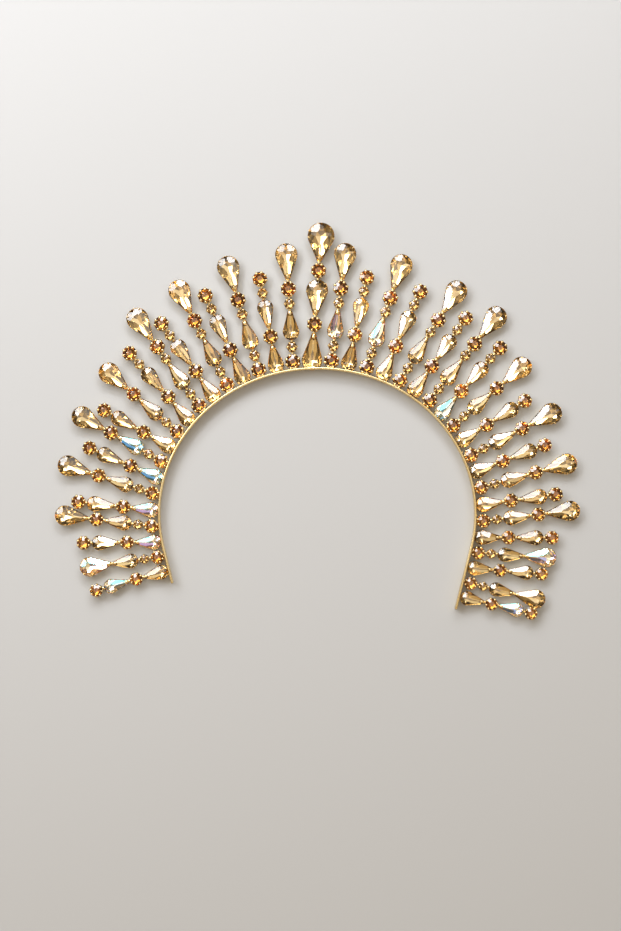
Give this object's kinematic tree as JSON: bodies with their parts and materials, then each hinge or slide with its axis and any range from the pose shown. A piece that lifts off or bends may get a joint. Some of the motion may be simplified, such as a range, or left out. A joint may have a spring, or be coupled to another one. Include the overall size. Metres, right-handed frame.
{
  "type": "bridal crown",
  "caption": "Halo bridal crown: a thin gold headband with a fan of gold rays, each set with champagne pear crystals and amber round crystals in claw cups, worn over the top of the head.",
  "frame": {"origin": "middle of the crown's footprint, on the surface that its back lies on", "axes": "+X to the right as the front is seen, +Y to the top of the fan, +Z out of the front of the stones"},
  "size_m": [0.2364, 0.1788, 0.0048],
  "materials": {
    "gold_plate": "polished yellow gold plate",
    "champagne_crystal": "foil-backed champagne cut glass, some with a rainbow coat",
    "amber_crystal": "foil-backed amber cut glass"
  },
  "bodies": {
    "root": {"crown_frame": "gold_plate", "tip_stone_center": "champagne_crystal", "tip_stone_right_1": "champagne_crystal", "tip_stone_right_2": "champagne_crystal", "tip_stone_right_3": "champagne_crystal", "tip_stone_right_4": "champagne_crystal", "tip_stone_right_5": "champagne_crystal", "tip_stone_right_6": "champagne_crystal", "tip_stone_right_7": "champagne_crystal", "tip_stone_right_8": "champagne_crystal", "tip_stone_right_9": "champagne_crystal", "tip_stone_right_10": "champagne_crystal", "tip_stone_left_1": "champagne_crystal", "tip_stone_left_2": "champagne_crystal", "tip_stone_left_3": "champagne_crystal", "tip_stone_left_4": "champagne_crystal", "tip_stone_left_5": "champagne_crystal", "tip_stone_left_6": "champagne_crystal", "tip_stone_left_7": "champagne_crystal", "tip_stone_left_8": "champagne_crystal", "tip_stone_left_9": "champagne_crystal"}
  },
  "joints": []
}
